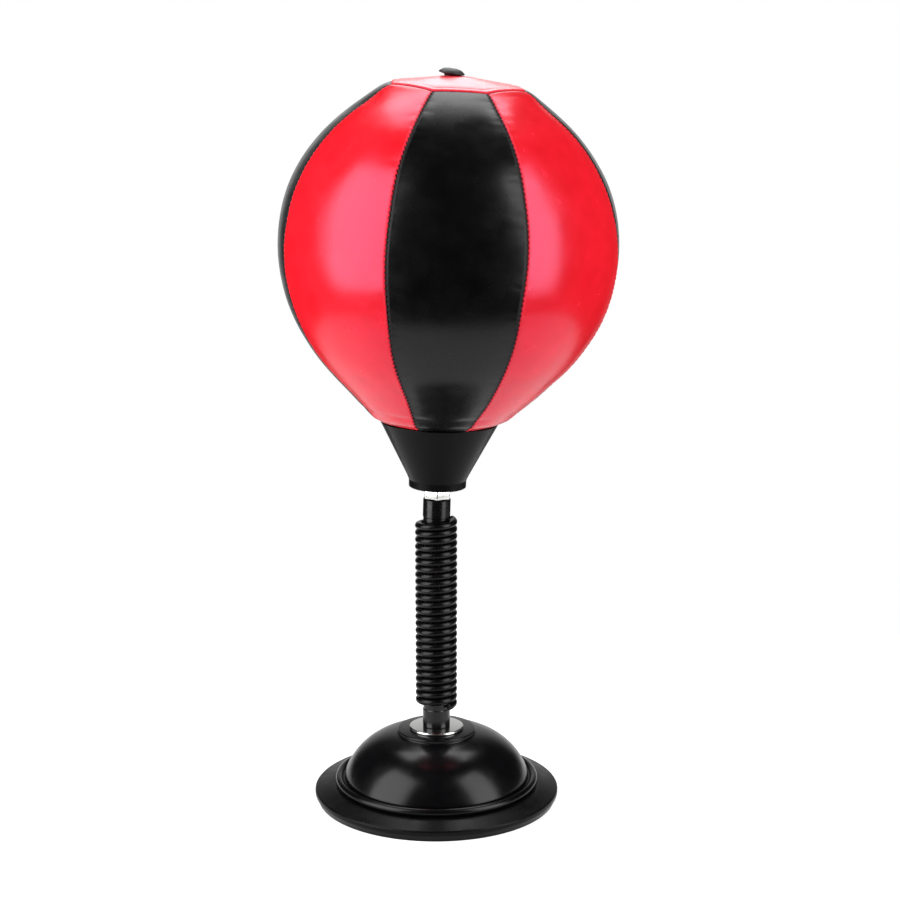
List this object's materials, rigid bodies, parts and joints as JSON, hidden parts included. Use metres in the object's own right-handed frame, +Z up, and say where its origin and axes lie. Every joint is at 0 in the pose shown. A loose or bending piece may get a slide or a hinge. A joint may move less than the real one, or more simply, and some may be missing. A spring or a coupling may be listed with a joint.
{
  "type": "desktop reflex punching ball",
  "caption": "Sewn inflated ball on a cone cup and coil-spring post, standing on a domed base with a screw-drawn suction pad.",
  "frame": {"origin": "middle of the suction pad's flat underside, on the table", "axes": "+Z up along the post, from the table to the ball; -Y towards the front black panel, +X to its right"},
  "size_m": [0.1599, 0.16, 0.3555],
  "materials": {
    "pad_pvc": "satin soft PVC",
    "dome_abs": "high-gloss moulded ABS",
    "bright_steel": "bright nickel-plated steel",
    "plain_steel": "zinc-plated steel",
    "black_steel": "gloss black plating",
    "spring_steel": "gloss black coated spring wire",
    "cup_plastic": "satin moulded plastic",
    "red_pu": "semi-gloss polyurethane-coated fabric",
    "black_pu": "semi-gloss polyurethane-coated fabric",
    "bladder_rubber": "plain latex",
    "valve_rubber": "dark moulded rubber"
  },
  "bodies": {
    "base": {"suction_pad": "pad_pvc", "base_dome": "dome_abs", "base_washer": "bright_steel"},
    "draw": {"stud_plate": "plain_steel", "draw_stud": "plain_steel"},
    "post": {"lower_plug": "black_steel", "spring_foot": "spring_steel"},
    "coils_low": {"spring_low": "spring_steel"},
    "coils_mid": {"spring_mid": "spring_steel"},
    "coils_high": {"spring_high": "spring_steel"},
    "head": {"spring_crown": "spring_steel", "upper_plug": "black_steel", "jam_nut": "bright_steel", "top_stud": "plain_steel", "cone_cup": "cup_plastic", "cup_washer": "plain_steel", "cup_nut": "plain_steel", "neck_collar": "black_pu", "retaining_disc": "cup_plastic", "disc_nut": "plain_steel", "bladder": "bladder_rubber", "valve_button": "valve_rubber", "top_patch": "red_pu", "black_panel_1": "black_pu", "red_panel_1": "red_pu", "black_panel_2": "black_pu", "red_panel_2": "red_pu", "black_panel_3": "black_pu", "red_panel_3": "red_pu", "black_panel_4": "black_pu", "red_panel_4": "red_pu"}
  },
  "joints": [
    {"name": "post_turn", "type": "hinge", "parent": "base", "child": "post", "pos_m": [0, 0, 0], "axis": [0, 0, 1], "range_deg": [-900, 0]},
    {"name": "stud_draw", "type": "slide", "parent": "base", "child": "draw", "axis": [0, 0, 1], "range_m": [0, 0.0032], "deforming": ["suction_pad"]},
    {"name": "sway_side", "type": "hinge", "parent": "post", "child": "coils_low", "pos_m": [0, 0, 0.0663], "axis": [0, 1, 0], "range_deg": [-22.5, 22.5], "stiffness_Nm_per_rad": 2.9, "deforming": ["spring_foot", "spring_low"]},
    {"name": "sway_front", "type": "hinge", "parent": "coils_low", "child": "coils_mid", "pos_m": [0, 0, 0.08496], "axis": [1, 0, 0], "range_deg": [-22.5, 22.5], "stiffness_Nm_per_rad": 2.9, "deforming": ["spring_mid"]},
    {"name": "sway_side_upper", "type": "hinge", "parent": "coils_mid", "child": "coils_high", "pos_m": [0, 0, 0.10362], "axis": [0, 1, 0], "range_deg": [-22.5, 22.5], "stiffness_Nm_per_rad": 2.9, "deforming": ["spring_high"]},
    {"name": "sway_front_upper", "type": "hinge", "parent": "coils_high", "child": "head", "pos_m": [0, 0, 0.12227], "axis": [1, 0, 0], "range_deg": [-22.5, 22.5], "stiffness_Nm_per_rad": 2.9, "deforming": ["spring_crown"]}
  ],
  "couplings": [
    {"joint": "stud_draw", "follows": "post_turn", "m_per_rad": -0.00019894},
    {"joint": "sway_side_upper", "follows": "sway_side", "ratio": 1},
    {"joint": "sway_front_upper", "follows": "sway_front", "ratio": 1}
  ]
}
